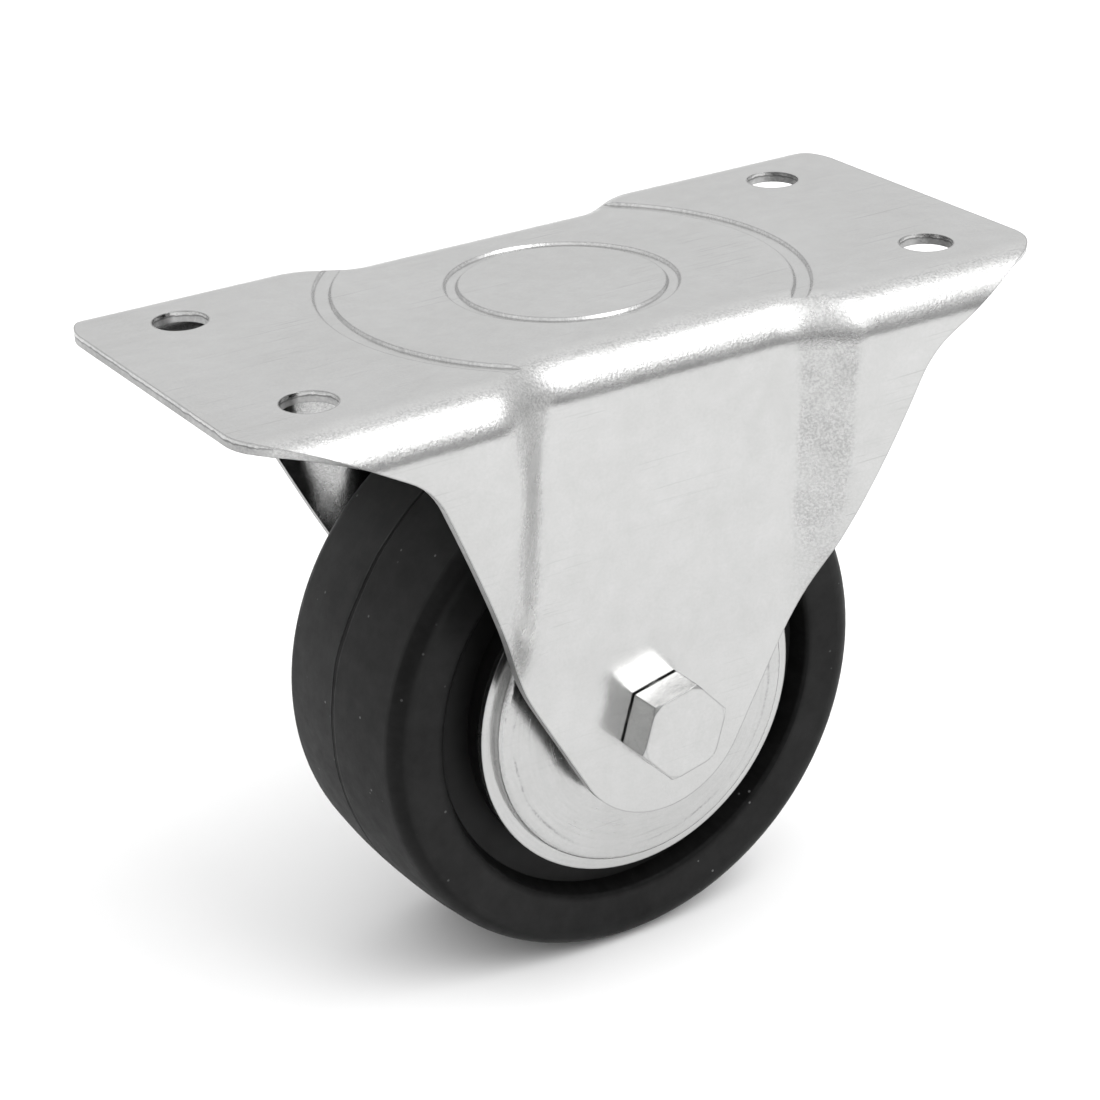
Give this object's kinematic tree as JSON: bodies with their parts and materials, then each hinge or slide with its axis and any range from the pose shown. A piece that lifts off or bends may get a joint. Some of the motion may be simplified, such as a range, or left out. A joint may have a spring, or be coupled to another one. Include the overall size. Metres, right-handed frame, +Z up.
{
  "type": "fixed castor",
  "caption": "Fixed castor: a one-piece folded zinc-plated steel bracket with a bolt-on top plate carries a rubber-tyred wheel on a through bolt and roller bearing.",
  "frame": {"origin": "centre of the four-hole pattern in the mounting plate's top face", "axes": "+X along the plate's length and the rolling direction, +Y along the axle towards the nut, +Z up out of the mounting face"},
  "size_m": [0.121, 0.0622, 0.0945],
  "materials": {
    "zinc_sheet": "bright zinc plate, burnished along the folds",
    "zinc_cover": "bright zinc plate",
    "zinc_fastener": "zinc-plated hardware",
    "bearing_steel": "ground steel",
    "rubber": "matt black rubber",
    "core_plastic": "moulded black",
    "nylon": "natural nylon"
  },
  "bodies": {
    "frame": {"bracket": "zinc_sheet", "axle_bolt": "zinc_fastener", "axle_nut": "zinc_fastener", "nut_insert": "nylon", "axle_bush": "bearing_steel", "front_washer": "bearing_steel", "rear_washer": "bearing_steel"},
    "wheel": {"tyre": "rubber", "wheel_core": "core_plastic", "bearing_sleeve": "bearing_steel", "front_cover": "zinc_cover", "rear_cover": "zinc_cover"},
    "cage": {"roller_cage": "nylon"},
    "roller_1": {"roller_1": "bearing_steel"},
    "roller_2": {"roller_2": "bearing_steel"},
    "roller_3": {"roller_3": "bearing_steel"},
    "roller_4": {"roller_4": "bearing_steel"},
    "roller_5": {"roller_5": "bearing_steel"},
    "roller_6": {"roller_6": "bearing_steel"},
    "roller_7": {"roller_7": "bearing_steel"},
    "roller_8": {"roller_8": "bearing_steel"}
  },
  "joints": [
    {"name": "wheel_spin", "type": "hinge", "parent": "frame", "child": "wheel", "pos_m": [0, 0, -0.056], "axis": [0, 1, 0], "continuous": true},
    {"name": "cage_spin", "type": "hinge", "parent": "frame", "child": "cage", "pos_m": [0, 0, -0.056], "axis": [0, 1, 0], "continuous": true},
    {"name": "roller_1_spin", "type": "hinge", "parent": "cage", "child": "roller_1", "pos_m": [0.00755, 0, -0.056], "axis": [0, 1, 0], "continuous": true},
    {"name": "roller_2_spin", "type": "hinge", "parent": "cage", "child": "roller_2", "pos_m": [0.00534, 0, -0.05066], "axis": [0, 1, 0], "continuous": true},
    {"name": "roller_3_spin", "type": "hinge", "parent": "cage", "child": "roller_3", "pos_m": [0, 0, -0.04845], "axis": [0, 1, 0], "continuous": true},
    {"name": "roller_4_spin", "type": "hinge", "parent": "cage", "child": "roller_4", "pos_m": [-0.00534, 0, -0.05066], "axis": [0, 1, 0], "continuous": true},
    {"name": "roller_5_spin", "type": "hinge", "parent": "cage", "child": "roller_5", "pos_m": [-0.00755, 0, -0.056], "axis": [0, 1, 0], "continuous": true},
    {"name": "roller_6_spin", "type": "hinge", "parent": "cage", "child": "roller_6", "pos_m": [-0.00534, 0, -0.06134], "axis": [0, 1, 0], "continuous": true},
    {"name": "roller_7_spin", "type": "hinge", "parent": "cage", "child": "roller_7", "pos_m": [0, 0, -0.06355], "axis": [0, 1, 0], "continuous": true},
    {"name": "roller_8_spin", "type": "hinge", "parent": "cage", "child": "roller_8", "pos_m": [0.00534, 0, -0.06134], "axis": [0, 1, 0], "continuous": true}
  ],
  "couplings": [
    {"joint": "cage_spin", "follows": "wheel_spin", "ratio": 0.60265},
    {"joint": "roller_1_spin", "follows": "wheel_spin", "ratio": 2.4106},
    {"joint": "roller_2_spin", "follows": "wheel_spin", "ratio": 2.4106},
    {"joint": "roller_3_spin", "follows": "wheel_spin", "ratio": 2.4106},
    {"joint": "roller_4_spin", "follows": "wheel_spin", "ratio": 2.4106},
    {"joint": "roller_5_spin", "follows": "wheel_spin", "ratio": 2.4106},
    {"joint": "roller_6_spin", "follows": "wheel_spin", "ratio": 2.4106},
    {"joint": "roller_7_spin", "follows": "wheel_spin", "ratio": 2.4106},
    {"joint": "roller_8_spin", "follows": "wheel_spin", "ratio": 2.4106}
  ]
}
